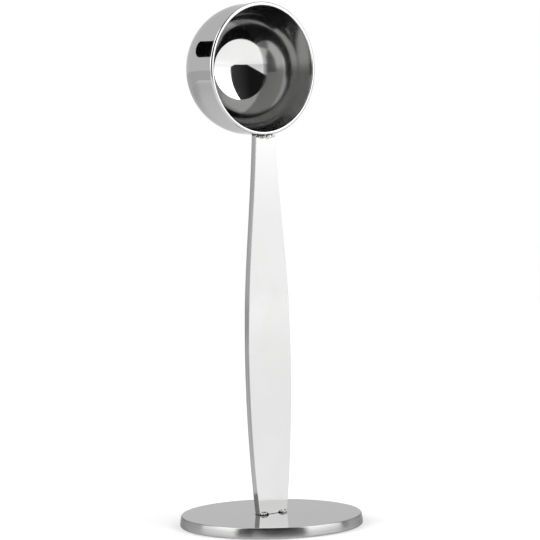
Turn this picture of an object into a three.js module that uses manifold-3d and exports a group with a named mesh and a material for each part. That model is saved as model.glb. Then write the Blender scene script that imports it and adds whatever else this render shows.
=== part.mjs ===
// Coffee scoop with a tamper foot: a drawn steel cup on a flat bar handle that stands on a round pressing disc.
// Millimetres, +Z up. The origin is the centre of the disc's underside. The cup opens towards -Y, so the
// broad faces of the handle look towards -Y (front) and +Y (rear), and left is -X seen from the front.

import * as THREE from "three";
import { mergeVertices } from "three/addons/utils/BufferGeometryUtils.js";
import Module from "manifold-3d";

// Tamper disc
const DISC_DIAMETER = 50;
const DISC_THICKNESS = 3;
const DISC_EDGE_RADIUS = 0.5;

// Handle bar, measured upwards from the disc's top
const HANDLE_LENGTH = 102.6; // to the lowest point of the saddle that takes the cup
const HANDLE_THICKNESS = 2;
const HANDLE_FOOT_WIDTH = 9.5;
const HANDLE_BELLY_WIDTH = 14.5;
const HANDLE_BELLY_HEIGHT = 42;
const HANDLE_TOP_WIDTH = 6.4;
const HANDLE_EDGE_BREAK = 0.25; // rounding along the bar's long edges

// Shape of the handle's outline: how far each curve reaches along its stretch before it turns
const FOOT_REACH = 0.49;
const BELLY_REACH = 0.4;
const NECK_REACH = 0.44;
const NECK_LEAN = 0.06; // sideways run of the neck's edge for each millimetre of height

// Scoop cup, measured from the mouth along its axis
const CUP_DIAMETER = 35.5; // outside of the wall
const CUP_WALL = 0.75;
const CUP_STRAIGHT = 6.2; // length of the straight wall behind the mouth
const CUP_DOME = 16.5; // depth of the rounded bottom, outside
const LIP_REACH = 0.25; // how far the lip stands out from the wall
const LIP_LENGTH = 0.8;
const LIP_EDGE_RADIUS = 0.2;

// Weld metal
const SEAM_GAP = 0.3; // root gap between the saddle and the cup
const BEAD_WIDTH = 1.2; // front bead across the seam
const BEAD_HEIGHT = 0.45; // front bead above the handle's face
const FILLET_LEG = 1.2; // rear fillet along the handle and along the cup
const TACK_LENGTH = 2.6;
const TACK_LEG = 0.8; // tack along the disc and up the handle
const TACK_INSET = 0.15; // from the handle's edge to the end of the tack

// Facets
const ROUND_STEPS = 56; // around the cup and the disc
const DOME_STEPS = 11;
const EDGE_STEPS = 2;
const OUTLINE_STEPS = 9; // along each curve of the handle's outline
const BEAD_RING_STEPS = 180; // around the whole seam circle that the beads are cut from
const BEAD_STEPS = 6;
const TACK_STEPS = 12;

// Sizes that follow from the ones above
const discRadius = DISC_DIAMETER / 2;
const cupRadius = CUP_DIAMETER / 2;
const cupBore = cupRadius - CUP_WALL;
const lipRadius = cupRadius + LIP_REACH;
const saddleRadius = lipRadius + SEAM_GAP;
const handleFrontY = -HANDLE_THICKNESS / 2;
const handleRearY = HANDLE_THICKNESS / 2;
const mouthY = handleFrontY; // the cup's mouth is flush with the handle's front
const cupAxisZ = DISC_THICKNESS + HANDLE_LENGTH + saddleRadius;

const wasm = await Module();
wasm.setup();

const polishedSteel = new THREE.MeshStandardMaterial({ color: 0xc9c9c8, metalness: 1, roughness: 0.12 });
const weldSteel = new THREE.MeshStandardMaterial({ color: 0x6b6763, metalness: 1, roughness: 0.55 });

// Points along part of an ellipse, both ends included
function arcPoints(centreX, centreY, radiusX, radiusY, start, end, steps) {
  const curve = new THREE.EllipseCurve(centreX, centreY, radiusX, radiusY, start, end, end < start);
  return curve.getPoints(steps);
}

// A closed solid for joining and cutting
function solidOf(geometry) {
  const bare = geometry.clone();
  bare.deleteAttribute("normal");
  bare.deleteAttribute("uv");
  const merged = mergeVertices(bare);
  return new wasm.Manifold(new wasm.Mesh({
    numProp: 3,
    vertProperties: merged.attributes.position.array,
    triVerts: new Uint32Array(merged.index.array),
  }));
}

function geometryOf(solid) {
  const mesh = solid.getMesh();
  const geometry = new THREE.BufferGeometry();
  geometry.setAttribute("position", new THREE.BufferAttribute(mesh.vertProperties, 3));
  geometry.setIndex(new THREE.BufferAttribute(mesh.triVerts, 1));
  geometry.computeVertexNormals();
  return geometry;
}

// A box from its lowest to its highest corner
function boxBetween(low, high) {
  const size = high.clone().sub(low);
  const centre = low.clone().add(high).multiplyScalar(0.5);
  return new THREE.BoxGeometry(size.x, size.y, size.z).translate(centre.x, centre.y, centre.z);
}

// The disc's half section, from the axis out along the underside and back along the top
function tamperDisc() {
  const edge = DISC_EDGE_RADIUS;
  const section = [
    new THREE.Vector2(0, 0),
    ...arcPoints(discRadius - edge, edge, edge, edge, -Math.PI / 2, 0, EDGE_STEPS),
    ...arcPoints(discRadius - edge, DISC_THICKNESS - edge, edge, edge, 0, Math.PI / 2, EDGE_STEPS),
    new THREE.Vector2(0, DISC_THICKNESS),
  ];
  const mesh = new THREE.Mesh(new THREE.LatheGeometry(section, ROUND_STEPS), polishedSteel);
  mesh.name = "tamper_disc";
  mesh.rotation.x = Math.PI / 2;
  return mesh;
}

// The handle's outline seen from the front: foot, belly, neck, and a saddle concentric with the cup
function handleOutline() {
  const foot = HANDLE_FOOT_WIDTH / 2;
  const belly = HANDLE_BELLY_WIDTH / 2;
  const top = HANDLE_TOP_WIDTH / 2;
  const saddleAngle = Math.asin(top / saddleRadius);
  const saddleCentre = HANDLE_LENGTH + saddleRadius;
  const topHeight = saddleCentre - saddleRadius * Math.cos(saddleAngle);
  const upper = topHeight - HANDLE_BELLY_HEIGHT;
  const footTurn = FOOT_REACH * HANDLE_BELLY_HEIGHT;
  const bellyTurn = HANDLE_BELLY_HEIGHT + BELLY_REACH * upper;
  const neckTurn = topHeight - NECK_REACH * upper;
  const neckTurnX = top + NECK_LEAN * NECK_REACH * upper;
  const down = -Math.PI / 2;

  const outline = new THREE.Shape();
  outline.moveTo(-foot, 0);
  outline.lineTo(foot, 0);
  outline.quadraticCurveTo(belly, footTurn, belly, HANDLE_BELLY_HEIGHT);
  outline.bezierCurveTo(belly, bellyTurn, neckTurnX, neckTurn, top, topHeight);
  outline.absarc(0, saddleCentre, saddleRadius, down + saddleAngle, down - saddleAngle, true);
  outline.bezierCurveTo(-neckTurnX, neckTurn, -belly, bellyTurn, -belly, HANDLE_BELLY_HEIGHT);
  outline.quadraticCurveTo(-belly, footTurn, -foot, 0);
  return outline;
}

function handleBar() {
  const geometry = new THREE.ExtrudeGeometry(handleOutline(), {
    depth: HANDLE_THICKNESS - 2 * HANDLE_EDGE_BREAK,
    curveSegments: OUTLINE_STEPS,
    bevelThickness: HANDLE_EDGE_BREAK,
    bevelSize: HANDLE_EDGE_BREAK,
    bevelOffset: -HANDLE_EDGE_BREAK,
    bevelSegments: EDGE_STEPS,
  });
  geometry.translate(0, 0, HANDLE_EDGE_BREAK - HANDLE_THICKNESS / 2);
  const mesh = new THREE.Mesh(geometry, polishedSteel);
  mesh.name = "handle_bar";
  mesh.rotation.x = Math.PI / 2;
  mesh.position.z = DISC_THICKNESS;
  return mesh;
}

// The cup's half section, from the axis along the inside to the mouth, round the lip and back outside
function scoopCup() {
  const edge = LIP_EDGE_RADIUS;
  const quarter = Math.PI / 2;
  const section = [
    ...arcPoints(0, CUP_STRAIGHT, cupBore, CUP_DOME - CUP_WALL, quarter, 0, DOME_STEPS),
    ...arcPoints(cupBore + edge, edge, edge, edge, Math.PI, 3 * quarter, EDGE_STEPS),
    ...arcPoints(lipRadius - edge, edge, edge, edge, -quarter, 0, EDGE_STEPS),
    new THREE.Vector2(lipRadius, LIP_LENGTH),
    new THREE.Vector2(cupRadius, LIP_LENGTH + LIP_REACH),
    ...arcPoints(0, CUP_STRAIGHT, cupRadius, CUP_DOME, 0, quarter, DOME_STEPS),
  ];
  section[0].x = 0;
  section[section.length - 1].x = 0;
  const mesh = new THREE.Mesh(new THREE.LatheGeometry(section, ROUND_STEPS), polishedSteel);
  mesh.name = "scoop_cup";
  mesh.position.set(0, mouthY, cupAxisZ);
  return mesh;
}

// A weld along the saddle: a closed section turned about the cup's axis and cut to the handle's top width
function saddleWeld(name, section) {
  const ring = new THREE.LatheGeometry([...section, section[0]], BEAD_RING_STEPS);
  const reach = saddleRadius + FILLET_LEG + BEAD_WIDTH;
  const half = HANDLE_TOP_WIDTH / 2 - HANDLE_EDGE_BREAK;
  const cutter = boxBetween(new THREE.Vector3(-half, -reach, -reach), new THREE.Vector3(half, reach, 0));
  const mesh = new THREE.Mesh(geometryOf(solidOf(ring).intersect(solidOf(cutter))), weldSteel);
  mesh.name = name;
  mesh.position.z = cupAxisZ;
  return mesh;
}

// Low rounded bead that lies on the handle's front and the lip, over the seam
function frontBead() {
  const seam = lipRadius + SEAM_GAP / 2;
  return arcPoints(seam, handleFrontY, BEAD_WIDTH / 2, BEAD_HEIGHT, Math.PI, 2 * Math.PI, BEAD_STEPS);
}

// Hollow fillet in the corner between the handle's rear and the cup's wall, clear of the lip
function rearFillet() {
  const root = cupRadius + SEAM_GAP;
  const toe = handleRearY + FILLET_LEG;
  const heel = root + FILLET_LEG;
  return [
    new THREE.Vector2(root, handleRearY),
    ...arcPoints(heel, toe, FILLET_LEG, FILLET_LEG, -Math.PI / 2, -Math.PI, BEAD_STEPS),
  ];
}

// A tack is a quarter of an ellipsoid in the corner between the handle and the disc; side is -1 front, +1 rear
function footTack(name, side, x) {
  const ellipsoid = new THREE.SphereGeometry(1, TACK_STEPS, TACK_STEPS).scale(TACK_LENGTH / 2, TACK_LEG, TACK_LEG);
  const nearY = Math.min(0, side * TACK_LENGTH);
  const farY = Math.max(0, side * TACK_LENGTH);
  const corner = boxBetween(
    new THREE.Vector3(-TACK_LENGTH, nearY, 0),
    new THREE.Vector3(TACK_LENGTH, farY, TACK_LENGTH),
  );
  const mesh = new THREE.Mesh(geometryOf(solidOf(ellipsoid).intersect(solidOf(corner))), weldSteel);
  mesh.name = name;
  mesh.position.set(x, side * HANDLE_THICKNESS / 2, DISC_THICKNESS);
  return mesh;
}

const scoop = new THREE.Group();
scoop.add(tamperDisc(), handleBar(), scoopCup());
scoop.add(saddleWeld("cup_weld_front", frontBead()), saddleWeld("cup_weld_rear", rearFillet()));

const tackX = HANDLE_FOOT_WIDTH / 2 - TACK_INSET - TACK_LENGTH / 2;
for (const [place, side] of [["front", -1], ["rear", 1]]) {
  scoop.add(footTack(`foot_tack_${place}_left`, side, -tackX));
  scoop.add(footTack(`foot_tack_${place}_right`, side, tackX));
}

export default scoop;
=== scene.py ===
"""A steel coffee scoop with a tamper foot, in fine meshes and finishes, stood in a plain studio.

Metres, +Z up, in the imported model's own frame: the origin is the centre of the disc's underside, the cup
opens towards -Y, and left is -X seen from the front.
"""

import math

import bmesh
import bpy
from bpy.props import FloatProperty, FloatVectorProperty, PointerProperty
from bpy.types import NodeSocket, Operator, Panel, PropertyGroup
from mathutils import Matrix, Vector, geometry, noise


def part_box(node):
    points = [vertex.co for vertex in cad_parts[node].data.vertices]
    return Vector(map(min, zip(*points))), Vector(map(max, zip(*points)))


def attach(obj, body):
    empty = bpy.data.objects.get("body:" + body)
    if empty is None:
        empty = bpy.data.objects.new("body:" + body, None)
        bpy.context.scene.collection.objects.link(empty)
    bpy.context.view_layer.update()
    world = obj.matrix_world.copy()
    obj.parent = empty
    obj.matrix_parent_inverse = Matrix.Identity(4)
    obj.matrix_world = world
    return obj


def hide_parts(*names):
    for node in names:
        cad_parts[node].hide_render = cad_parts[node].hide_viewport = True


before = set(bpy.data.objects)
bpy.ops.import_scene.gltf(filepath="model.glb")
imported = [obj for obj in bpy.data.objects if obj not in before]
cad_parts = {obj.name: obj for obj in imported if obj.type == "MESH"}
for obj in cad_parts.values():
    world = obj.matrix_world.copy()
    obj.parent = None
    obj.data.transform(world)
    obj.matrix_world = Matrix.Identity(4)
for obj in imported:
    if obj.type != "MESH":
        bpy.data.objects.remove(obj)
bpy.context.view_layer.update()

bl_info = {
    "name": "Coffee scoop with tamper foot",
    "version": (1, 0, 0),
    "blender": (4, 5, 0),
    "location": "3D View > Sidebar > Scoop",
    "description": "Builds a steel coffee scoop with a tamper foot, its welds and a plain studio around it",
    "category": "Add Mesh",
}

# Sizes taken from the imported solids
DISC_LOW, DISC_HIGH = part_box("tamper_disc")
BAR_LOW, BAR_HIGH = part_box("handle_bar")
CUP_LOW, CUP_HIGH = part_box("scoop_cup")
CUP_AXIS_Z = (CUP_LOW.z + CUP_HIGH.z) / 2
LIP_RADIUS = (CUP_HIGH.x - CUP_LOW.x) / 2
BAR_HALF_DEPTH = (BAR_HIGH.y - BAR_LOW.y) / 2

MM = 0.001
MICRON = 0.000001
BODY = "root"

# Facets
ROUND_STEPS = 288
DOME_STEPS = 72
EDGE_STEPS = 8
FACE_COLUMNS = 8
ROW_STEPS = 40
BEAD_STEPS = 18
# Rows this far from an edge keep a straight wall's shading straight
HOLDING_ROW = 0.1 * MM
# A facet that faces its axis more than this is shaded flat
FLAT_FACING = 0.9999
# The same for the facets that take the finish of the disc's and the bar's faces
DISC_FACE_FACING = 0.8
BAR_FACE_FACING = 0.3

WHITE = (1.0, 1.0, 1.0, 1.0)
BLACK = (0.0, 0.0, 0.0, 1.0)


def length(name, description, default):
    """A size in metres that a user may change."""
    return FloatProperty(
        name=name, description=description, default=default, min=0.0, precision=5, subtype="DISTANCE"
    )


def share(name, description, default):
    """A plain number that a user may change."""
    return FloatProperty(name=name, description=description, default=default, min=0.0, soft_max=4.0)


def angle(name, description, degrees):
    """An angle that a user may change, given here in degrees."""
    return FloatProperty(
        name=name, description=description, default=math.radians(degrees), subtype="ANGLE"
    )


def colour(name, description, default):
    """A linear colour that a user may change."""
    return FloatVectorProperty(
        name=name, description=description, default=default, min=0.0, max=1.0, size=3, subtype="COLOR"
    )


class DiscSizes(PropertyGroup):
    """Sizes of the tamper disc."""

    radius: length("Radius", "From the axis to the disc's side", (DISC_HIGH.x - DISC_LOW.x) / 2)
    thickness: length("Thickness", "From the tamping face to the top", DISC_HIGH.z - DISC_LOW.z)
    edge: length("Edge rounding", "Radius along the upper and lower edges", 0.4 * MM)
    lean: angle("Side lean", "How far the side leans inwards at its foot", 4)
    crown: angle("Side crown", "How far the side leans inwards at its top", 15)


class BarSizes(PropertyGroup):
    """Sizes of the handle bar, measured upwards from the disc's top."""

    foot_width: length("Foot width", "Width where the bar stands on the disc", 9.5 * MM)
    belly_width: length("Belly width", "Greatest width", BAR_HIGH.x - BAR_LOW.x)
    belly_height: length("Belly height", "Height of the greatest width", 42 * MM)
    top_width: length("Top width", "Width under the cup", 6.4 * MM)
    foot_reach: share("Foot reach", "Where the lower curve turns, as a share of the belly height", 0.49)
    belly_reach: share("Belly reach", "Pull of the belly on the upper curve, as a share of its rise", 0.4)
    neck_reach: share("Neck reach", "Pull of the neck on the upper curve, as a share of its rise", 0.44)
    neck_lean: share("Neck lean", "Sideways run of the neck's edge per metre of height", 0.06)
    edge_roll: length("Edge roll", "How far the long edges roll in across the broad faces", 0.07 * MM)
    edge_drop: length("Edge drop", "How deep the long edges drop below the broad faces", 0.12 * MM)
    end_edge: length("End rounding", "Radius round the foot and the saddle", 0.22 * MM)
    saddle_gap: length("Saddle gap", "Root gap between the saddle and the cup's lip", 0.1 * MM)


class CupSizes(PropertyGroup):
    """Sizes of the scoop cup, measured from the mouth along its axis."""

    depth: length("Depth", "From the mouth to the outside of the bottom", CUP_HIGH.y - CUP_LOW.y)
    straight: length("Straight wall", "Length of the straight wall behind the mouth", 6.2 * MM)
    wall: length("Wall", "Thickness of the drawn sheet", 0.75 * MM)
    lip_radius: length("Lip radius", "From the axis to the lip's outside", LIP_RADIUS)
    lip_reach: length("Lip reach", "How far the lip stands out from the wall", 0.25 * MM)
    lip_length: length("Lip length", "Length of the lip along the axis", 0.8 * MM)
    lip_edge: length("Lip rounding", "Radius along the lip's outer edge", 0.5 * MM)
    mouth_edge: length("Mouth rounding", "Radius along the lip's inner edge", 0.3 * MM)


class WeldSizes(PropertyGroup):
    """Sizes of the weld metal."""

    bead_width: length("Bead width", "Width of the front bead across the seam", 1.1 * MM)
    bead_offset: length("Bead offset", "From the cup's lip to the middle of the front bead", 0.42 * MM)
    bead_height: length("Bead height", "Height of the front bead above the bar's face", 0.32 * MM)
    fillet_leg: length("Fillet leg", "Leg of the rear fillet along the bar and the cup", 1.2 * MM)
    tack_length: length("Tack length", "Length of a tack along the foot", 2.6 * MM)
    tack_leg: length("Tack leg", "Leg of a tack along the disc and up the bar", 0.8 * MM)
    tack_inset: length("Tack inset", "From the bar's edge to the end of a tack", 0.15 * MM)
    ripple_pitch: length("Ripple pitch", "From one ripple of the weld to the next", 0.62 * MM)


class SteelColours(PropertyGroup):
    """Colours of the steel's finishes, with painted shade and a painted reflection inside the cup."""

    bar: colour("Bar", "Buffed steel of the handle bar", (0.58, 0.58, 0.578))
    bar_edge: colour("Bar edge", "Ground steel along the bar's edges", (0.42, 0.42, 0.418))
    disc: colour("Disc", "Buffed steel of the disc's faces", (0.46, 0.46, 0.458))
    disc_side: colour("Disc side", "Brushed steel round the disc", (0.35, 0.35, 0.348))
    cup: colour("Cup outside", "Buffed steel of the cup's outside and lip", (0.43, 0.43, 0.428))
    # The cup's inside is painted: greyer on the wall as painted shade, brighter on the bottom as a painted
    # reflection
    cup_wall: colour("Cup wall", "Greyer drawn steel of the inner wall", (0.31, 0.31, 0.308))
    cup_bottom: colour("Cup bottom", "Brightly buffed steel of the inner bottom", (0.62, 0.62, 0.617))
    weld: colour("Weld", "Clean weld metal", (0.62, 0.615, 0.605))
    soot: colour("Soot", "Burnt scale in the weld's ripples and toes", (0.012, 0.011, 0.01))


class StudioSettings(PropertyGroup):
    """The camera, the lamps and the backdrop."""

    azimuth: angle("Azimuth", "Camera's direction about the vertical, from -Y", -38.8232)
    elevation: angle("Elevation", "Camera's height above the horizon", 3.8574)
    roll: angle("Roll", "Camera's turn about its own line of sight", -1.2293)
    aim_side: length("Aim to the side", "Aimed point, to the camera's right of the axis", 1.0506 * MM)
    aim_height: length("Aim height", "Height of the aimed point", 69.4278 * MM)
    distance: length("Distance", "From the camera to the aimed point", 693.6154 * MM)
    focal: length("Focal length", "Focal length of the lens", 170.515 * MM)
    softbox: share("Softbox radiance", "Brightness of the two softboxes", 3.5)
    backdrop: share("Backdrop radiance", "Brightness of the backdrop, where 1 is white", 1.0)
    fill: share("Fill", "Brightness of the soft light that the room throws on the object", 0.5)
    dark: share("Dark side", "Brightness of the unlit room behind the camera", 0.012)
    floor: colour("Floor", "Colour of the floor", (0.8, 0.8, 0.8))


# Mesh helpers


def section_arc(centre, radii, start, end, steps):
    """Points along part of an ellipse, both ends included, with the angles in degrees."""
    points = []
    for step in range(steps + 1):
        turn = math.radians(start + (end - start) * step / steps)
        points.append((centre[0] + radii[0] * math.cos(turn), centre[1] + radii[1] * math.sin(turn)))
    return points


def round_outline(radii, steps):
    """Points all round an ellipse about its centre."""
    return section_arc((0, 0), radii, 0, 360, steps)[:-1]


def turned(section, place):
    """Turns a half section that starts and ends on the axis.

    place gives the point for a radius, a distance along the axis and an angle. Returns the vertices, the
    faces and, for each face, its step of the section.
    """
    vertices = [place(0, section[0][1], 0)]
    for radius, along in section[1:-1]:
        for step in range(ROUND_STEPS):
            vertices.append(place(radius, along, 2 * math.pi * step / ROUND_STEPS))
    vertices.append(place(0, section[-1][1], 0))
    last_ring = 1 + (len(section) - 3) * ROUND_STEPS
    faces = []
    bands = []
    for step in range(ROUND_STEPS):
        following = (step + 1) % ROUND_STEPS
        faces.append((0, 1 + step, 1 + following))
        bands.append(0)
        for band in range(1, len(section) - 2):
            near = 1 + (band - 1) * ROUND_STEPS
            far = near + ROUND_STEPS
            faces.append((near + step, far + step, far + following, near + following))
            bands.append(band)
        faces.append((last_ring + step, len(vertices) - 1, last_ring + following))
        bands.append(len(section) - 2)
    return vertices, faces, bands


def lofted(rings):
    """Joins rings of equally many points into a closed skin with a cap at each end."""
    count = len(rings[0])
    vertices = [point for ring in rings for point in ring]
    faces = [tuple(range(count)), tuple(range(len(vertices) - count, len(vertices)))]
    for ring in range(len(rings) - 1):
        near = ring * count
        for point in range(count):
            following = (point + 1) % count
            faces.append((near + point, near + following, near + count + following, near + count + point))
    return vertices, faces


def add_object(name, data):
    """Puts an object into the scene."""
    added = bpy.data.objects.new(name, data)
    bpy.context.scene.collection.objects.link(added)
    return added


def add_piece(name, vertices, faces, materials, nodes):
    """Makes a piece of the object that stands for the named solids."""
    mesh = bpy.data.meshes.new(name)
    mesh.from_pydata(vertices, [], faces)
    skin = bmesh.new()
    skin.from_mesh(mesh)
    bmesh.ops.recalc_face_normals(skin, faces=skin.faces)
    skin.to_mesh(mesh)
    skin.free()
    mesh.shade_smooth()
    for material in materials:
        mesh.materials.append(material)
    piece = add_object(name, mesh)
    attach(piece, BODY)
    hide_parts(*nodes)
    return piece


# Node helpers

# Sockets of a colour mix, several of which share one name
MIX_SHARE = 0
MIX_FROM = 6
MIX_TO = 7
MIX_RESULT = 2


def place_node(tree, kind, feeds=None, **settings):
    """Adds a node with its options, and feeds its inputs with values or sockets."""
    node = tree.nodes.new(kind)
    for key, value in settings.items():
        setattr(node, key, value)
    for key, value in (feeds or {}).items():
        if isinstance(value, NodeSocket):
            tree.links.new(value, node.inputs[key])
        else:
            node.inputs[key].default_value = value
    return node


def math_node(tree, operation, *values):
    """Adds a step of arithmetic on values or sockets and gives its result."""
    return place_node(tree, "ShaderNodeMath", dict(enumerate(values)), operation=operation).outputs[0]


def vector_value(tree, operation, *vectors):
    """The same on vectors, for a step that results in one value."""
    feeds = dict(enumerate(vectors))
    return place_node(tree, "ShaderNodeVectorMath", feeds, operation=operation).outputs["Value"]


def remap(tree, value, low, high, to_low=0.0, to_high=1.0, curve="LINEAR"):
    """Maps a value's range onto another, held at its ends."""
    feeds = {0: value, 1: low, 2: high, 3: to_low, 4: to_high}
    return place_node(tree, "ShaderNodeMapRange", feeds, interpolation_type=curve).outputs[0]


def split(tree, vector, axis):
    """One coordinate of a vector."""
    return place_node(tree, "ShaderNodeSeparateXYZ", {0: vector}).outputs[axis]


def tinted(tree, colour_from, colour_to, mask):
    """Mixes two colours or colour sockets by a mask."""
    feeds = {MIX_SHARE: mask, MIX_FROM: colour_from, MIX_TO: colour_to}
    return place_node(tree, "ShaderNodeMix", feeds, data_type="RGBA").outputs[MIX_RESULT]


def noise_value(tree, vector, scale, **feeds):
    """Adds a noise with the named inputs and gives its value."""
    feeds.update({"Vector": vector, "Scale": scale})
    return place_node(tree, "ShaderNodeTexNoise", feeds).outputs[0]


# Effects that several finishes share

# Their usual settings, with scales in features to the metre
SCRATCH_DENSITY = 0.27
SMUDGE_SCALE = 70.0
WAVE_SCALE = 110.0
SCRATCH_TURNS = (24, 81, 142)
SCRATCH_STRETCH = (60, 6000, 6000)
SCRATCH_FADE = 0.04
# Noise values between which each effect goes from nothing to all
SMUDGE_RANGE = (0.42, 0.72)
LINE_RANGE = (0.25, 0.75)


def new_effect(name, control, default, output, kind="NodeSocketFloat"):
    """An empty shader node group: the group, its vector, its one control and its output."""
    group = bpy.data.node_groups.new(name, "ShaderNodeTree")
    group.interface.new_socket("Vector", in_out="INPUT", socket_type="NodeSocketVector")
    group.interface.new_socket(control, in_out="INPUT", socket_type=kind).default_value = default
    group.interface.new_socket(output, in_out="OUTPUT", socket_type="NodeSocketFloat")
    given = group.nodes.new("NodeGroupInput").outputs
    put = group.nodes.new("NodeGroupOutput").inputs
    return group, given["Vector"], given[control], put[output]


def hairline_scratches():
    """Sparse fine scratches in three directions, as a mask."""
    group, where, density, put = new_effect("hairline_scratches", "Density", SCRATCH_DENSITY, "Scratch")
    threshold = math_node(group, "SUBTRACT", 1.0, density)
    crest = math_node(group, "ADD", threshold, SCRATCH_FADE)
    total = 0.0
    for degrees in SCRATCH_TURNS:
        turn = math.radians(degrees)
        feeds = {"Vector": where, "Rotation": (turn, turn / 2, turn), "Scale": SCRATCH_STRETCH}
        stretched = place_node(group, "ShaderNodeMapping", feeds)
        lines = noise_value(group, stretched.outputs[0], 1.0, Detail=1.0)
        mask = remap(group, lines, threshold, crest)
        total = math_node(group, "MAXIMUM", mask, total)
    group.links.new(total, put)
    return group


def handling_smudges():
    """Cloudy patches where the polish is dulled by handling, as a mask."""
    group, where, scale, put = new_effect("handling_smudges", "Scale", SMUDGE_SCALE, "Haze")
    clouds = noise_value(group, where, scale, Detail=5.0, Roughness=0.58, Distortion=0.6)
    group.links.new(remap(group, clouds, *SMUDGE_RANGE), put)
    return group


def buffing_waves():
    """Slow swells that a buffing wheel leaves in a mirror face, as a height."""
    group, where, scale, put = new_effect("buffing_waves", "Scale", WAVE_SCALE, "Height")
    group.links.new(noise_value(group, where, scale, Detail=1.0, Roughness=0.4), put)
    return group


def polishing_lines():
    """Fine lines of a belt or a wheel, which run where the stretch is small, as a height and a mask."""
    even = (1.0, 1.0, 1.0)
    group, where, stretch, put = new_effect("polishing_lines", "Stretch", even, "Lines", "NodeSocketVector")
    stretched = place_node(group, "ShaderNodeMapping", {"Vector": where, "Scale": stretch})
    lines = noise_value(group, stretched.outputs[0], 1.0, Detail=3.0, Roughness=0.62)
    group.links.new(remap(group, lines, *LINE_RANGE), put)
    return group


def effect(tree, make, where, control):
    """Places a shared effect, built on its first use, and gives its value."""
    group = bpy.data.node_groups.get(make.__name__) or make()
    return place_node(tree, "ShaderNodeGroup", {0: where, 1: control}, node_tree=group).outputs[0]


# Finishes

BORDER_SCALE = 220.0
WELD_SMUDGE_SCALE = 900.0
SPECKLE_SCALE = 1700.0
SCRATCH_ROUGHNESS = 0.12
GRIME = (0.3, 0.295, 0.285, 1.0)
GRIME_SHARE = 0.07
STREAK_RANGE = (0.2, 0.9)
QUARTER_TURN = 0.25

# The film on the cup's wall, which also dulls the steel under it
FILM_DULLING = 0.05
FILM_WEIGHT = 0.6
FILM_ROUGHNESS = 0.3

# Where the cup's bottom, painted bright as a painted reflection, begins and is full, as shares of the
# depth, and how far its border wanders
BOTTOM_BEGINS = 0.72
BOTTOM_FULL = 0.74
BORDER_WANDER = 0.4 * MM

# Weld metal, from clean to burnt
SPECKLE_RANGE = (0.3, 0.7)
SPECKLE_GAIN = 0.5
SCALE_RANGE = (0.35, 0.6)
WELD_SHADE = 0.7
WELD_ROUGHNESS = (0.24, 0.65)
WELD_METALLIC = (1.0, 0.2)
WELD_GRAIN = 25 * MICRON

# How finely the worked lines repeat along each axis, in lines to the metre
ALONG_BAR = (7000.0, 7000.0, 25.0)
ALONG_BAR_EDGE = (400.0, 5200.0, 18.0)
ROUND_DISC = (30.0, 30.0, 7000.0)
ACROSS_DISC = (5000.0, 60.0, 60.0)
ROUND_CUP = (40.0, 6000.0, 40.0)


def rgba(colour_value, shade=1.0):
    """A colour property as four numbers, darkened by a shade."""
    return (*(channel * shade for channel in colour_value), 1.0)


def new_material(name, kind, feeds=None):
    """A material with one shader: the material, its tree and its shader."""
    material = bpy.data.materials.new(name)
    material.use_nodes = True
    tree = material.node_tree
    tree.nodes.clear()
    shader = place_node(tree, kind, feeds)
    place_node(tree, "ShaderNodeOutputMaterial", {"Surface": shader.outputs[0]})
    return material, tree, shader


def new_metal(name):
    """A metal material: the material, its tree, its shader and the object's coordinates."""
    material, tree, shader = new_material(name, "ShaderNodeBsdfPrincipled", {"Metallic": 1.0})
    return material, tree, shader, place_node(tree, "ShaderNodeTexCoord").outputs["Object"]


def steel_finish(
    name, base, stretch, gloss, lines_height, waves_height, haze_gain, edge_tint=1.0, streaks=0.0,
    scratch_height=0.2, lathe_axis=None, lathe_spread=0.9, film=None
):
    """Bare steel: worked lines along one direction, slow buffing waves, smudges and a few fine scratches.

    base is a colour or a function that makes a colour socket, gloss the least roughness, haze_gain what
    smudges add to it, edge_tint the reflection at a grazing angle and streaks how much the lines darken
    the steel. The heights are in microns. Lines round a lathe_axis spread reflections across themselves
    by lathe_spread. film is a function that makes the mask of a thin dull film.
    """
    material, tree, shader, where = new_metal(name)
    base_colour = base(tree, where) if callable(base) else rgba(base)
    lines = effect(tree, polishing_lines, where, stretch)
    haze = effect(tree, handling_smudges, where, SMUDGE_SCALE)
    scratch = effect(tree, hairline_scratches, where, SCRATCH_DENSITY)
    waves = effect(tree, buffing_waves, where, WAVE_SCALE)
    dulled = math_node(tree, "MULTIPLY_ADD", haze, haze_gain, gloss)
    rough = math_node(tree, "MULTIPLY_ADD", scratch, SCRATCH_ROUGHNESS, dulled)
    if film:
        filmed = film(tree, where)
        rough = math_node(tree, "MULTIPLY_ADD", filmed, FILM_DULLING, rough)
        tree.links.new(math_node(tree, "MULTIPLY", filmed, FILM_WEIGHT), shader.inputs["Coat Weight"])
        shader.inputs["Coat Roughness"].default_value = FILM_ROUGHNESS
    if lathe_axis:
        around = place_node(tree, "ShaderNodeTangent", direction_type="RADIAL", axis=lathe_axis)
        tree.links.new(around.outputs[0], shader.inputs["Tangent"])
        shader.inputs["Anisotropic"].default_value = lathe_spread
        shader.inputs["Anisotropic Rotation"].default_value = QUARTER_TURN
    if streaks:
        shadow = remap(tree, lines, *STREAK_RANGE, streaks, 0.0)
        base_colour = tinted(tree, base_colour, BLACK, shadow)
    grime = math_node(tree, "MULTIPLY", haze, GRIME_SHARE)
    tree.links.new(tinted(tree, base_colour, GRIME, grime), shader.inputs["Base Color"])
    tree.links.new(rough, shader.inputs["Roughness"])
    shader.inputs["Specular Tint"].default_value = (edge_tint, edge_tint, edge_tint, 1.0)
    # Each relief lies on the one before it
    relief = {}
    for height, microns in ((waves, waves_height), (lines, lines_height), (scratch, -scratch_height)):
        relief.update({"Height": height, "Distance": microns * MICRON})
        relief["Normal"] = place_node(tree, "ShaderNodeBump", relief).outputs[0]
    tree.links.new(relief["Normal"], shader.inputs["Normal"])
    return material


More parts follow.
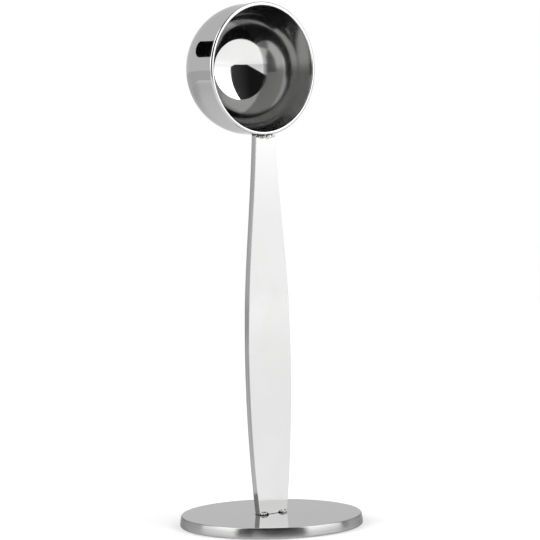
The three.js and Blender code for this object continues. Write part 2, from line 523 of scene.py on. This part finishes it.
def buffed_bar(colours):
    """The bar's broad faces: a bright mirror with faint lengthwise lines."""
    return steel_finish(
        "buffed_bar", colours.bar, ALONG_BAR, gloss=0.06, lines_height=0.02, waves_height=1.2,
        haze_gain=0.05
    )


def ground_bar_edge(colours):
    """The bar's narrow sides: lengthwise grinding lines, less bright."""
    return steel_finish(
        "ground_bar_edge", colours.bar_edge, ALONG_BAR_EDGE, gloss=0.12, lines_height=1.2,
        waves_height=1.0, haze_gain=0.06, streaks=0.35
    )


def buffed_disc(colours):
    """The disc's flat faces: a mirror that shows the foot."""
    return steel_finish(
        "buffed_disc", colours.disc, ACROSS_DISC, gloss=0.045, lines_height=0.015,
        waves_height=0.8, haze_gain=0.04, edge_tint=0.72
    )


def brushed_disc_side(colours):
    """The disc's side: brushed round, so that it scatters light up and down."""
    return steel_finish(
        "brushed_disc_side", colours.disc_side, ROUND_DISC, gloss=0.24, lines_height=1.0,
        waves_height=0.5, haze_gain=0.03, edge_tint=0.45, streaks=0.2, lathe_axis="Z",
        lathe_spread=0.8
    )


def buffed_cup_outside(colours):
    """The cup's outside and lip: a soft mirror."""
    return steel_finish(
        "buffed_cup_outside", colours.cup, ROUND_CUP, gloss=0.05, lines_height=0.03,
        waves_height=1.5, haze_gain=0.05, edge_tint=0.8
    )


def mirror_cup_inside(colours, cup):
    """The cup's inside: a bottom painted bright as a painted reflection, and a wall painted greyer as
    painted shade, which also carries a thin dull film.
    """
    begins = CUP_LOW.y + cup.depth * BOTTOM_BEGINS
    full = CUP_LOW.y + cup.depth * BOTTOM_FULL

    def on_wall(tree, where):
        """1 on the wall and 0 on the bottom, for the painted shade, the painted reflection and the film."""
        cloud = noise_value(tree, where, BORDER_SCALE, Detail=2.0)
        wavy = math_node(tree, "MULTIPLY_ADD", cloud, BORDER_WANDER, split(tree, where, "Y"))
        return remap(tree, wavy, begins, full, 1.0, 0.0)

    def shade(tree, where):
        """The colour of the wall and of the bottom: painted shade on the wall, a painted reflection on the
        bottom.
        """
        return tinted(tree, rgba(colours.cup_bottom), rgba(colours.cup_wall), on_wall(tree, where))

    return steel_finish(
        "mirror_cup_inside", shade, ROUND_CUP, gloss=0.03, lines_height=0.0, waves_height=1.2,
        haze_gain=0.02, scratch_height=0.02, lathe_axis="Y", film=on_wall
    )


def rippled_weld(colours):
    """Weld metal: dull and lumpy, with burnt scale in the ripples and along the toes."""
    material, tree, shader, where = new_metal("rippled_weld")
    crevice = place_node(tree, "ShaderNodeAttribute", attribute_name="crevice").outputs["Fac"]
    speckle = noise_value(tree, where, SPECKLE_SCALE, Detail=4.0, Roughness=0.65)
    uneven = remap(tree, speckle, *SPECKLE_RANGE, -SPECKLE_GAIN, SPECKLE_GAIN)
    burnt = remap(tree, math_node(tree, "ADD", crevice, uneven), *SCALE_RANGE)
    haze = effect(tree, handling_smudges, where, WELD_SMUDGE_SCALE)
    bright = tinted(tree, rgba(colours.weld), rgba(colours.weld, WELD_SHADE), haze)
    tree.links.new(tinted(tree, bright, rgba(colours.soot), burnt), shader.inputs["Base Color"])
    tree.links.new(remap(tree, burnt, 0.0, 1.0, *WELD_ROUGHNESS), shader.inputs["Roughness"])
    tree.links.new(remap(tree, burnt, 0.0, 1.0, *WELD_METALLIC), shader.inputs["Metallic"])
    bump = place_node(tree, "ShaderNodeBump", {"Height": speckle, "Distance": WELD_GRAIN})
    tree.links.new(bump.outputs[0], shader.inputs["Normal"])
    return material


# Pieces

# A quadratic curve's middle point as the pull on a cubic curve's two handles
QUADRATIC_PULL = 2 / 3
# The bar's rows bend into the saddle over this share of the belly's height
SADDLE_BLEND = 0.25


def make_disc(sizes, colours):
    """The tamper disc: flat polished faces, rounded edges and a brushed, crowned side."""
    edge = sizes.edge
    inner = sizes.radius - edge
    low_turn = math.degrees(sizes.lean)
    high_turn = math.degrees(sizes.crown)
    swing = (sizes.thickness - 2 * edge) / (math.sin(sizes.crown) - math.sin(sizes.lean))
    middle = (inner - swing * math.cos(sizes.lean), edge - swing * math.sin(sizes.lean))
    taper = swing * (math.cos(sizes.lean) - math.cos(sizes.crown))
    section = [
        (0.0, 0.0),
        *section_arc((inner, edge), (edge, edge), -90, low_turn, EDGE_STEPS),
        *section_arc(middle, (swing + edge, swing + edge), low_turn, high_turn, EDGE_STEPS)[1:-1],
        *section_arc((inner - taper, sizes.thickness - edge), (edge, edge), high_turn, 90, EDGE_STEPS),
        (0.0, sizes.thickness),
    ]

    def place(radius, height, turn):
        return (radius * math.cos(turn), radius * math.sin(turn), height)

    vertices, faces, _ = turned(section, place)
    materials = [buffed_disc(colours), brushed_disc_side(colours)]
    piece = add_piece("disc_turned", vertices, faces, materials, ["tamper_disc"])
    for polygon in piece.data.polygons:
        facing = abs(polygon.normal.z)
        polygon.use_smooth = facing <= FLAT_FACING
        polygon.material_index = 0 if facing > DISC_FACE_FACING else 1


def bar_outline(sizes, saddle_radius):
    """Half width and height above the disc of each row of the bar, from the foot to the saddle."""
    foot = sizes.foot_width / 2
    belly = sizes.belly_width / 2
    top = sizes.top_width / 2
    top_height = CUP_AXIS_Z - math.sqrt(saddle_radius**2 - top**2) - DISC_HIGH.z
    rise = top_height - sizes.belly_height
    run = sizes.neck_reach * rise
    start = Vector((foot, 0.0))
    turn = Vector((belly, sizes.foot_reach * sizes.belly_height))
    middle = Vector((belly, sizes.belly_height))
    leave = Vector((belly, sizes.belly_height + sizes.belly_reach * rise))
    arrive = Vector((top + sizes.neck_lean * run, top_height - run))
    end = Vector((top, top_height))
    after_start = start.lerp(turn, QUADRATIC_PULL)
    before_middle = middle.lerp(turn, QUADRATIC_PULL)
    lower = geometry.interpolate_bezier(start, after_start, before_middle, middle, ROW_STEPS)
    upper = geometry.interpolate_bezier(middle, leave, arrive, end, ROW_STEPS)
    return [*lower, *upper[1:]]


def bar_section(half_width, half_depth, sizes):
    """One row's loop of points (x, y), with long edges that roll in from the broad faces."""
    reach = half_width - sizes.edge_roll
    depth = half_depth - sizes.edge_drop
    corner = (sizes.edge_roll, sizes.edge_drop)
    columns = [-reach + 2 * reach * step / FACE_COLUMNS for step in range(FACE_COLUMNS + 1)]
    return [
        *((x, -half_depth) for x in columns),
        *section_arc((reach, -depth), corner, -90, 0, EDGE_STEPS)[1:],
        *section_arc((reach, depth), corner, 0, 90, EDGE_STEPS),
        *((-x, half_depth) for x in columns[1:]),
        *section_arc((-reach, depth), corner, 90, 180, EDGE_STEPS)[1:],
        *section_arc((-reach, -depth), corner, 180, 270, EDGE_STEPS)[:-1],
    ]


def make_bar(sizes, colours):
    """The handle bar: flat broad faces, rolled long edges and a saddle under the cup."""
    saddle_radius = LIP_RADIUS + sizes.saddle_gap
    outline = bar_outline(sizes, saddle_radius)
    edge = sizes.end_edge
    corner_width, corner_height = outline[-1]
    rounding = section_arc((edge, edge), (edge, edge), 180, 270, EDGE_STEPS)
    rows = [(outline[0][0], drop, inset) for inset, drop in reversed(rounding)]
    rows += [(width, height, 0.0) for width, height in outline if edge < height < corner_height - edge]
    rows += [(corner_width, corner_height - drop, inset) for inset, drop in rounding]
    blend = sizes.belly_height * SADDLE_BLEND
    corner_drop = math.sqrt(saddle_radius**2 - corner_width**2)
    rings = []
    for width, height, inset in rows:
        lift = max(0.0, 1 - (corner_height - height) / blend)
        ring = []
        for x, y in bar_section(width - inset, BAR_HALF_DEPTH - inset, sizes):
            sag = lift * (corner_drop - math.sqrt(saddle_radius**2 - x**2))
            ring.append((x, y, DISC_HIGH.z + height + sag))
        rings.append(ring)
    vertices, faces = lofted(rings)
    materials = [buffed_bar(colours), ground_bar_edge(colours)]
    piece = add_piece("bar_polished", vertices, faces, materials, ["handle_bar"])
    for polygon in piece.data.polygons:
        facing = abs(polygon.normal.y)
        polygon.use_smooth = facing < FLAT_FACING
        polygon.material_index = 0 if facing > BAR_FACE_FACING else 1


def make_cup(sizes, colours):
    """The scoop cup: a straight wall, a rounded bottom and a small turned lip."""
    outer = sizes.lip_radius - sizes.lip_reach
    bore = outer - sizes.wall
    dome = sizes.depth - sizes.straight
    edge = sizes.lip_edge
    mouth = sizes.mouth_edge
    half_lip = sizes.lip_reach / 2
    middle = outer + half_lip
    lip_end = sizes.lip_length + sizes.lip_reach
    inside = [
        *section_arc((0, sizes.straight), (bore, dome - sizes.wall), 90, 0, DOME_STEPS),
        (bore, sizes.straight - HOLDING_ROW),
        (bore, mouth + HOLDING_ROW),
        *section_arc((bore + mouth, mouth), (mouth, mouth), 180, 270, EDGE_STEPS),
    ]
    outside = [
        *section_arc((sizes.lip_radius - edge, edge), (edge, edge), 270, 360, EDGE_STEPS),
        *section_arc((middle, sizes.lip_length), (half_lip, half_lip), 0, 90, EDGE_STEPS),
        *section_arc((middle, lip_end), (-half_lip, -half_lip), 90, 0, EDGE_STEPS)[1:],
        (outer, lip_end + HOLDING_ROW),
        (outer, sizes.straight - HOLDING_ROW),
        *section_arc((0, sizes.straight), (outer, dome), 0, 90, DOME_STEPS),
    ]

    def place(radius, along, turn):
        return (radius * math.sin(turn), CUP_LOW.y + along, CUP_AXIS_Z - radius * math.cos(turn))

    vertices, faces, bands = turned(inside + outside, place)
    bright_rim = bpy.data.materials.get("buffed_bar") or buffed_bar(colours)
    materials = [buffed_cup_outside(colours), mirror_cup_inside(colours, sizes), bright_rim]
    piece = add_piece("cup_drawn", vertices, faces, materials, ["scoop_cup"])
    for polygon, band in zip(piece.data.polygons, bands):
        past_mouth = band - len(inside) + 1
        polygon.use_smooth = past_mouth != 0
        if past_mouth < -EDGE_STEPS:
            polygon.material_index = 1
        elif past_mouth <= 0:
            polygon.material_index = 2


# Welds

# Ripples, lumps and the scale that they carry
RIPPLE_TRAIL = 0.7
RIPPLE_DEPTH = 0.28
LUMP_SIZE = 0.35
LUMP_SCALE = 1900
CREVICE_SCALE = 0.8
CREVICE_FALL = 1.5
TOE_POWER = 1.3
END_POWER = 5

# The bead wanders, and carries more scale at its left end and on its side towards the cup
BEAD_WANDER = 0.2 * MM
BEAD_WANDER_SCALE = 1100
BEAD_LEFT_SCALE = 0.45
BEAD_SCALE_FALL = 0.75
BEAD_CUP_SIDE = 0.45
BEAD_CUP_SIDE_SCALE = 0.6
BEAD_ROOT = [(-0.6, -0.3), (0.6, -0.3)]

# The fillet is flatter than a quarter circle and is sunk into the seam
FILLET_FLATNESS = 0.4
FILLET_SINK = 0.25 * MM
FILLET_ROOT = [(0.0, -0.2)]

# The left tacks are burnt towards their ends, and the right ones are clean
TACK_STEPS = 3 * BEAD_STEPS
TACK_ROOT = [(-0.2, -0.2)]
BURNT_TACK_RISE = 0.8
BURNT_TACK_MIDDLE = 0.8
BURNT_TACK_LEAST = -0.15
CLEAN_TACK = -0.35


def ripple(along, spread, pitch):
    """Height of the weld's ripples, from 0 to 1, which trail behind as they spread to the toes."""
    return abs(math.sin(math.pi * (along / pitch + RIPPLE_TRAIL * spread * spread)))


def from_crown(step, profile):
    """0 in the middle of a profile and 1 at both toes."""
    return abs(2 * step / (len(profile) - 1) - 1)


def weld_piece(name, stations, profile, root, burn, pitch, colours, node):
    """A rippled weld: the profile is set out at each station, with a root in the seam.

    A station is an origin, two directions with their sizes, the distance along the weld, how full it is
    there and how much more scale than elsewhere it carries. burn is the scale of each profile point.
    """
    rings = []
    depths = []
    for origin, first, second, along, full, heat in stations:
        ring = []
        for step, (a, b) in enumerate(profile):
            outwards = first * a + second * b
            wave = ripple(along, from_crown(step, profile), pitch)
            lump = 1 + LUMP_SIZE * noise.noise((origin + outwards) * LUMP_SCALE)
            swell = full * lump * (1 - RIPPLE_DEPTH + RIPPLE_DEPTH * wave)
            ring.append(origin + outwards * swell)
            depths.append(max(CREVICE_SCALE - CREVICE_FALL * wave, burn[step]) + heat)
        for a, b in root:
            ring.append(origin + first * a * full + second * b)
            depths.append(1.0)
        rings.append(ring)
    vertices, faces = lofted(rings)
    material = bpy.data.materials.get("rippled_weld") or rippled_weld(colours)
    piece = add_piece(name, vertices, faces, [material], [node])
    crevice = piece.data.attributes.new("crevice", "FLOAT", "POINT")
    crevice.data.foreach_set("value", depths)


def toe_scale(profile):
    """Scale that gathers along both toes of a profile."""
    return [from_crown(step, profile) ** TOE_POWER for step in range(len(profile))]


def rounded_ends(share_along):
    """How full a weld with blunt rounded ends is at a share of its length."""
    return math.sqrt(1 - abs(2 * share_along - 1) ** END_POWER)


def make_cup_welds(sizes, bar, colours):
    """The bead over the saddle's seam in front, and the fillet behind it."""
    pitch = sizes.ripple_pitch
    seam = LIP_RADIUS + bar.saddle_gap / 2
    half_angle = math.asin(bar.top_width / 2 / seam)
    steps = round(2 * half_angle * seam / pitch) * BEAD_STEPS
    centre = Vector((0, 0, CUP_AXIS_Z))
    to_front = Vector((0, -BAR_HALF_DEPTH, 0))
    height = Vector((0, -sizes.bead_height, 0))
    rear_leg = Vector((0, sizes.fillet_leg, 0))
    bead = []
    fillet = []
    for step in range(1, steps):
        turn = half_angle * (2 * step / steps - 1)
        out = Vector((math.sin(turn), 0, -math.cos(turn)))
        along = turn * seam
        full = rounded_ends(step / steps)
        wander = BEAD_WANDER * noise.noise(Vector((along * BEAD_WANDER_SCALE, 0, 0)))
        crest = centre + out * (LIP_RADIUS + sizes.bead_offset + wander) + to_front
        heat = BEAD_LEFT_SCALE - BEAD_SCALE_FALL * step / steps
        bead.append((crest, out * sizes.bead_width / 2, height, along, full, heat))
        corner = centre + out * (LIP_RADIUS - FILLET_SINK) - to_front
        fillet.append((corner, out * (sizes.fillet_leg + FILLET_SINK), rear_leg, along, full, 0.0))
    half_round = section_arc((0, 0), (1, 1), 0, 180, BEAD_STEPS)
    cup_side = [BEAD_CUP_SIDE_SCALE * min(1.0, max(0.0, BEAD_CUP_SIDE - a)) for a, _ in half_round]
    weld_piece("bead_front", bead, half_round, BEAD_ROOT, cup_side, pitch, colours, "cup_weld_front")
    hollow = section_arc((1, 1), (1, 1), -90, -180, BEAD_STEPS)
    eased = [(a + FILLET_FLATNESS * (1 - b - a), b) for a, b in hollow]
    toes = toe_scale(eased)
    weld_piece("fillet_rear", fillet, eased, FILLET_ROOT, toes, pitch, colours, "cup_weld_rear")


def make_foot_tacks(sizes, bar, colours):
    """Four short tacks in the corners between the bar's foot and the disc."""
    middle = bar.foot_width / 2 - sizes.tack_inset - sizes.tack_length / 2
    quarter = section_arc((0, 0), (1, 1), 0, 90, BEAD_STEPS)
    toes = toe_scale(quarter)
    up = Vector((0, 0, sizes.tack_leg))
    for place, side in (("front", -1), ("rear", 1)):
        out = Vector((0, side * sizes.tack_leg, 0))
        for hand, across in (("left", -1), ("right", 1)):
            stations = []
            for step in range(1, TACK_STEPS):
                share_along = step / TACK_STEPS
                along = sizes.tack_length * (share_along - 0.5)
                corner = Vector((across * middle + along, side * BAR_HALF_DEPTH, DISC_HIGH.z))
                heat = CLEAN_TACK
                if hand == "left":
                    heat = BURNT_TACK_RISE * (2 * share_along - BURNT_TACK_MIDDLE) ** 2 + BURNT_TACK_LEAST
                stations.append((corner, out, up, along, rounded_ends(share_along), heat))
            name = f"tack_{place}_{hand}"
            node = f"foot_{name}"
            weld_piece(name, stations, quarter, TACK_ROOT, toes, sizes.ripple_pitch, colours, node)


# Studio

# Directions are in degrees from the camera's side of the object, positive to the right of the picture. A
# middle or a spot is a direction and a distance, and the pairs for a fade or an edge are its two ends.

# The softboxes stand on the floor, with feet that flare towards the camera and inner edges that lean
RIGHT_SOFTBOX = (46.5, 98)
LEFT_SOFTBOX = (-46, -97)
SOFTBOX_HEIGHT = 1.5
SOFTBOX_AWAY = 0.85
SOFTBOX_SINK = 0.03
SOFTBOX_FLARE = 0.16
SOFTBOX_LEAN = 0.14
SOFTBOX_FADE = (0.03, 0.3)
SOFTBOX_FOOT_GLOW = 0.42

# The floor's own white fades towards a spot on each side
FLOOR_MIDDLE = (60, 0.1)
FLOOR_RADIUS = 0.75
FLOOR_STEPS = 144
FLOOR_DROP = 0.1 * MM
FLOOR_ROUGHNESS = 0.9
RIGHT_SPOT = (90, 0.6)
RIGHT_FADE = (0.1, 0.5)
RIGHT_GLOW = (0.36, 0.55)
LEFT_SPOT = (-125, 0.45)
LEFT_FADE = (0.12, 0.46)
EYE_FADE = (0.05, 0.6)
EYE_GLOW = (0.28, 0.46)

FLAG_MIDDLE = (-103, 0.6)
FLAG_RISE = 0.25
FLAG_RADII = (0.25, 0.105)
FLAG_STEPS = 48
FLAG_COLOUR = (0.003, 0.003, 0.003, 1.0)

# The unlit room has a sloping foot and a rounded corner low on the right, and is brighter there
ROOM_LEFT = (-47, -45)
ROOM_FOOT_LEFT = (-24, -22)
ROOM_FOOT_SLOPE = 0.0096
ROOM_FOOT = (-0.0285, 0.1255)
ROOM_RIGHT = (36, 44)
ROOM_CORNER = (0.875, 1.0)
ROOM_SHADING = (10, 42)
ROOM_RIGHT_GAIN = 5
# The dimmer gap behind the right softbox
GAP_LEFT = (97, 99)
GAP_RIGHT = (110, 114)
GAP_DARKNESS = 0.6
# The backdrop is a little dimmer below the horizon, the more so at the sides
HORIZON = (-0.02, 0.0)
LOW_FADE = (45, 60)
LOW_GLOW = (0.95, 0.8)


def towards(studio, degrees, distance=1.0):
    """A level step from the object, turned from the camera's side towards the right of the picture."""
    turn = studio.azimuth + math.radians(degrees)
    return Vector((math.sin(turn), -math.cos(turn), 0)) * distance


def make_camera(studio):
    """The camera that sees the object as in the photograph."""
    right = Vector((math.cos(studio.azimuth), math.sin(studio.azimuth), 0))
    back = towards(studio, 0) * math.cos(studio.elevation)
    back.z = math.sin(studio.elevation)
    up = back.cross(right)
    turned_right = right * math.cos(studio.roll) + up * math.sin(studio.roll)
    turned_up = up * math.cos(studio.roll) - right * math.sin(studio.roll)
    lens = bpy.data.cameras.new("camera")
    lens.lens = studio.focal / MM
    camera = add_object("camera", lens)
    camera.matrix_world = Matrix((turned_right, turned_up, back)).transposed().to_4x4()
    aim = right * studio.aim_side + Vector((0, 0, studio.aim_height))
    camera.location = aim + back * studio.distance
    bpy.context.scene.camera = camera


def add_stage_piece(name, points, material):
    """Makes a flat piece of the studio, which isn't part of the object."""
    mesh = bpy.data.meshes.new(name)
    mesh.from_pydata(points, [], [tuple(range(len(points)))])
    mesh.materials.append(material)
    piece = add_object(name, mesh)
    return piece


def matt_cloth(name, base, roughness):
    """A matt material: the material, its tree and its shader."""
    feeds = {"Base Color": base, "Roughness": roughness, "Specular IOR Level": 0.0}
    return new_material(name, "ShaderNodeBsdfPrincipled", feeds)


def softbox_cloth(studio):
    """The glowing front of a softbox, dimmer towards its foot."""
    material, tree, lamp = new_material("softbox_cloth", "ShaderNodeEmission")
    height = split(tree, place_node(tree, "ShaderNodeNewGeometry").outputs["Position"], "Z")
    foot_glow = SOFTBOX_FOOT_GLOW * studio.softbox
    glow = remap(tree, height, *SOFTBOX_FADE, foot_glow, studio.softbox, "SMOOTHSTEP")
    tree.links.new(glow, lamp.inputs["Strength"])
    return material


def make_softbox(name, studio, directions, material):
    """A tall softbox beside the object, between a direction near the camera and a far one."""
    near, far = directions
    reach = SOFTBOX_AWAY / math.cos(math.radians(far - near) / 2)
    inner = towards(studio, near, reach)
    outer = towards(studio, far, reach)
    side = (inner - outer).normalized()
    rise = Vector((0, 0, SOFTBOX_HEIGHT))
    drop = Vector((0, 0, -SOFTBOX_SINK))
    flare = []
    for a, b in section_arc((1, 1), (-1, -1), 90, 0, EDGE_STEPS):
        flare.append(inner + side * SOFTBOX_FLARE * a + Vector((0, 0, SOFTBOX_FLARE * b)))
    points = [flare[0] + drop, *flare, inner + side * SOFTBOX_LEAN + rise, outer + rise, outer + drop]
    add_stage_piece(name, points, material).visible_camera = False


def background_rays(tree):
    """Masks of the rays from the eye and of the rays from metal or glass, which show the background."""
    path = place_node(tree, "ShaderNodeLightPath").outputs
    polished = math_node(tree, "MAXIMUM", path["Is Glossy Ray"], path["Is Transmission Ray"])
    return path["Is Camera Ray"], polished


def make_floor(studio):
    """A round pale floor that takes the shadow, with some white of its own for eye and metal."""
    material, tree, shader = matt_cloth("pale_floor", rgba(studio.floor), FLOOR_ROUGHNESS)
    shader.inputs["Emission Color"].default_value = WHITE
    where = place_node(tree, "ShaderNodeNewGeometry").outputs["Position"]
    right = vector_value(tree, "DISTANCE", where, towards(studio, *RIGHT_SPOT))
    left = vector_value(tree, "DISTANCE", where, towards(studio, *LEFT_SPOT))
    left_share = remap(tree, left, *LEFT_FADE)
    glow = math_node(tree, "MULTIPLY", left_share, remap(tree, right, *RIGHT_FADE, *RIGHT_GLOW))
    eye_glow = remap(tree, vector_value(tree, "LENGTH", where), *EYE_FADE, *EYE_GLOW)
    from_eye, from_metal = background_rays(tree)
    to_eye = math_node(tree, "MULTIPLY", from_eye, eye_glow)
    to_metal = math_node(tree, "MULTIPLY", from_metal, glow)
    tree.links.new(math_node(tree, "ADD", to_eye, to_metal), shader.inputs["Emission Strength"])
    middle = towards(studio, *FLOOR_MIDDLE)
    outline = round_outline((FLOOR_RADIUS, FLOOR_RADIUS), FLOOR_STEPS)
    points = [(middle.x + x, middle.y + y, -FLOOR_DROP) for x, y in outline]
    add_stage_piece("studio_floor", points, material)


def make_flag(studio):
    """A small black flag between the left softbox and the backdrop, which only reflections show."""
    material = matt_cloth("black_cloth", FLAG_COLOUR, roughness=1.0)[0]
    middle = towards(studio, *FLAG_MIDDLE)
    side = Vector((-middle.y, middle.x, 0)).normalized()
    centre = middle + Vector((0, 0, CUP_AXIS_Z + FLAG_RISE))
    outline = round_outline(FLAG_RADII, FLAG_STEPS)
    points = [centre + side * x + Vector((0, 0, z)) for x, z in outline]
    flag = add_stage_piece("black_flag", points, material)
    flag.visible_camera = False
    flag.visible_shadow = False
    flag.visible_diffuse = False


def unlit_share(tree, turn, height):
    """1 in the unlit room behind the camera, part of that in the gap, and 0 elsewhere."""
    above = math_node(tree, "MULTIPLY_ADD", turn, ROOM_FOOT_SLOPE, height)
    low = remap(tree, above, *ROOM_FOOT, 1.0, 0.0)
    right = remap(tree, turn, *ROOM_RIGHT)
    corner = place_node(tree, "ShaderNodeCombineXYZ", {"X": low, "Y": right}).outputs[0]
    inside = remap(tree, vector_value(tree, "LENGTH", corner), *ROOM_CORNER, 1.0, 0.0)
    clear = math_node(tree, "MAXIMUM", inside, remap(tree, turn, *ROOM_FOOT_LEFT, 1.0, 0.0))
    room = math_node(tree, "MULTIPLY", remap(tree, turn, *ROOM_LEFT), clear)
    gap_from = remap(tree, turn, *GAP_LEFT, 0.0, GAP_DARKNESS)
    gap = math_node(tree, "MULTIPLY", gap_from, remap(tree, turn, *GAP_RIGHT, 1.0, 0.0))
    return math_node(tree, "MAXIMUM", room, gap)


def make_world(studio):
    """A white backdrop, apart from the unlit room behind the camera, which only reflections show."""
    world = bpy.data.worlds.new("studio")
    bpy.context.scene.world = world
    world.use_nodes = True
    tree = world.node_tree
    ray = place_node(tree, "ShaderNodeTexCoord").outputs["Generated"]
    forward = vector_value(tree, "DOT_PRODUCT", ray, towards(studio, 0))
    sideways = vector_value(tree, "DOT_PRODUCT", ray, towards(studio, 90))
    turn = math_node(tree, "DEGREES", math_node(tree, "ARCTAN2", sideways, forward))
    height = split(tree, ray, "Z")
    darkness = remap(tree, turn, *ROOM_SHADING, studio.dark, ROOM_RIGHT_GAIN * studio.dark)
    room_light = remap(tree, unlit_share(tree, turn, height), 0.0, 1.0, 1.0, darkness)
    low_glow = remap(tree, math_node(tree, "ABSOLUTE", turn), *LOW_FADE, *LOW_GLOW)
    horizon = remap(tree, height, *HORIZON, low_glow, 1.0)
    from_eye, from_metal = background_rays(tree)
    shown = math_node(tree, "MAXIMUM", math_node(tree, "MULTIPLY", room_light, horizon), from_eye)
    seen = math_node(tree, "MAXIMUM", from_eye, from_metal)
    level = remap(tree, seen, 0.0, 1.0, studio.fill, studio.backdrop)
    background = tree.nodes["Background"]
    background.inputs["Color"].default_value = WHITE
    tree.links.new(math_node(tree, "MULTIPLY", shown, level), background.inputs["Strength"])


def make_studio(studio):
    """The camera, the floor, two tall softboxes, a small flag and the backdrop."""
    make_camera(studio)
    make_floor(studio)
    cloth = softbox_cloth(studio)
    make_softbox("softbox_right", studio, RIGHT_SOFTBOX, cloth)
    make_softbox("softbox_left", studio, LEFT_SOFTBOX, cloth)
    make_flag(studio)
    make_world(studio)
    bpy.context.scene.view_settings.view_transform = "Standard"


# Operators, panel and registration


class SCOOP_OT_studio(Operator):
    """Set up the camera, the floor, the lamps and the backdrop"""

    bl_idname = "scoop.studio"
    bl_label = "Studio"

    def execute(self, context):
        make_studio(context.scene.scoop_studio)
        return {"FINISHED"}


class SCOOP_OT_disc(Operator):
    """Build the tamper disc"""

    bl_idname = "scoop.disc"
    bl_label = "Tamper disc"

    def execute(self, context):
        make_disc(context.scene.scoop_disc, context.scene.scoop_colours)
        return {"FINISHED"}


class SCOOP_OT_bar(Operator):
    """Build the handle bar"""

    bl_idname = "scoop.bar"
    bl_label = "Handle bar"

    def execute(self, context):
        make_bar(context.scene.scoop_bar, context.scene.scoop_colours)
        return {"FINISHED"}


class SCOOP_OT_cup(Operator):
    """Build the scoop cup"""

    bl_idname = "scoop.cup"
    bl_label = "Scoop cup"

    def execute(self, context):
        make_cup(context.scene.scoop_cup, context.scene.scoop_colours)
        return {"FINISHED"}


class SCOOP_OT_cup_welds(Operator):
    """Build the welds between the handle bar and the cup"""

    bl_idname = "scoop.cup_welds"
    bl_label = "Cup welds"

    def execute(self, context):
        scene = context.scene
        make_cup_welds(scene.scoop_welds, scene.scoop_bar, scene.scoop_colours)
        return {"FINISHED"}


class SCOOP_OT_foot_tacks(Operator):
    """Build the tack welds between the handle bar and the disc"""

    bl_idname = "scoop.foot_tacks"
    bl_label = "Foot tacks"

    def execute(self, context):
        scene = context.scene
        make_foot_tacks(scene.scoop_welds, scene.scoop_bar, scene.scoop_colours)
        return {"FINISHED"}


SETTINGS = {
    "scoop_disc": DiscSizes,
    "scoop_bar": BarSizes,
    "scoop_cup": CupSizes,
    "scoop_welds": WeldSizes,
    "scoop_colours": SteelColours,
    "scoop_studio": StudioSettings,
}
OPERATORS = (
    SCOOP_OT_studio, SCOOP_OT_disc, SCOOP_OT_bar, SCOOP_OT_cup, SCOOP_OT_cup_welds, SCOOP_OT_foot_tacks
)


class SCOOP_PT_pieces(Panel):
    """Lists the pieces and their settings in the sidebar"""

    bl_idname = "SCOOP_PT_pieces"
    bl_label = "Coffee scoop"
    bl_space_type = "VIEW_3D"
    bl_region_type = "UI"
    bl_category = "Scoop"

    def draw(self, context):
        for operator in OPERATORS:
            self.layout.operator(operator.bl_idname)
        for group in SETTINGS:
            box = self.layout.box()
            settings = getattr(context.scene, group)
            for name in settings.__annotations__:
                box.prop(settings, name)


CLASSES = (*SETTINGS.values(), *OPERATORS, SCOOP_PT_pieces)


def register():
    for each in CLASSES:
        bpy.utils.register_class(each)
    for name, group in SETTINGS.items():
        setattr(bpy.types.Scene, name, PointerProperty(type=group))


def unregister():
    for name in SETTINGS:
        delattr(bpy.types.Scene, name)
    for each in reversed(CLASSES):
        bpy.utils.unregister_class(each)


def main():
    """Builds everything in order."""
    register()
    bpy.ops.scoop.studio()
    bpy.ops.scoop.disc()
    bpy.ops.scoop.bar()
    bpy.ops.scoop.cup()
    bpy.ops.scoop.cup_welds()
    bpy.ops.scoop.foot_tacks()


if __name__ == "__main__":
    main()
